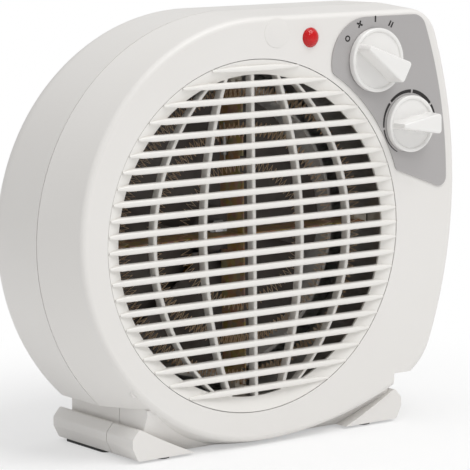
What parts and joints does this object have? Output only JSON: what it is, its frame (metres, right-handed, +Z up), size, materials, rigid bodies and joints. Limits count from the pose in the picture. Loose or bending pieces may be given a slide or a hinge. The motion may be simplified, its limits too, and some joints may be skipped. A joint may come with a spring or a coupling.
{
  "type": "fan heater",
  "caption": "Upright electric fan heater: round white drum body squared out at the right, slatted outlet grille, two wedge-bar knobs, pilot lamp, element, fan and motor inside.",
  "frame": {"origin": "on the floor under the middle of the heater's overall box", "axes": "+Z up, -Y out of the front grille, +X to the right side with the knobs seen from the front"},
  "size_m": [0.262, 0.1036, 0.2345],
  "materials": {
    "housing_white": "fine satin moulding",
    "grille_white": "smooth satin moulding",
    "panel_grey": "satin silver grey",
    "knob_white": "smooth",
    "dark_plastic": "moulded",
    "steel": "plain zinc plated",
    "brass": "bright",
    "lamp_red": "clear red lens",
    "lamp_glass": "clear",
    "mica": "pressed mica sheet",
    "heating_alloy": "drawn wire",
    "copper_winding": "enamelled winding",
    "laminations": "stacked sheet",
    "ceramic_body": "unglazed",
    "rubber_black": "soft pad"
  },
  "bodies": {
    "housing": {"front_shell": "housing_white", "rear_housing": "housing_white", "front_grille": "grille_white", "control_panel": "panel_grey", "selector_switch": "dark_plastic", "thermostat_body": "ceramic_body", "pilot_lens": "lamp_red", "pilot_neon": "lamp_glass", "air_duct": "grille_white", "duct_screws": "steel", "mica_boards": "mica", "board_clips": "steel", "heating_wires": "heating_alloy", "thermal_cutout": "dark_plastic", "thermal_fuse": "steel", "motor_stack": "laminations", "motor_coil": "copper_winding", "front_bracket": "steel", "rear_bracket": "steel", "front_bush": "brass", "rear_bush": "brass", "motor_screws": "steel", "mount_screws": "steel", "terminal_block": "dark_plastic", "cord_gland": "dark_plastic", "rubber_feet": "rubber_black", "housing_screws": "steel"},
    "selector": {"selector_knob": "knob_white", "selector_spindle": "brass"},
    "thermostat": {"thermostat_knob": "knob_white", "thermostat_spindle": "brass"},
    "rotor": {"fan": "dark_plastic", "fan_nut": "steel", "motor_shaft": "steel", "motor_rotor": "laminations"}
  },
  "joints": [
    {"name": "selector_turn", "type": "hinge", "parent": "housing", "child": "selector", "pos_m": [0.0688, -0.03575, 0.2052], "axis": [0, 1, 0], "range_deg": [0, 90]},
    {"name": "thermostat_turn", "type": "hinge", "parent": "housing", "child": "thermostat", "pos_m": [0.0925, -0.03575, 0.1687], "axis": [0, 1, 0], "range_deg": [0, 270]},
    {"name": "fan_spin", "type": "hinge", "parent": "housing", "child": "rotor", "pos_m": [-0.011, -0.03575, 0.1145], "axis": [0, -1, 0], "continuous": true}
  ]
}
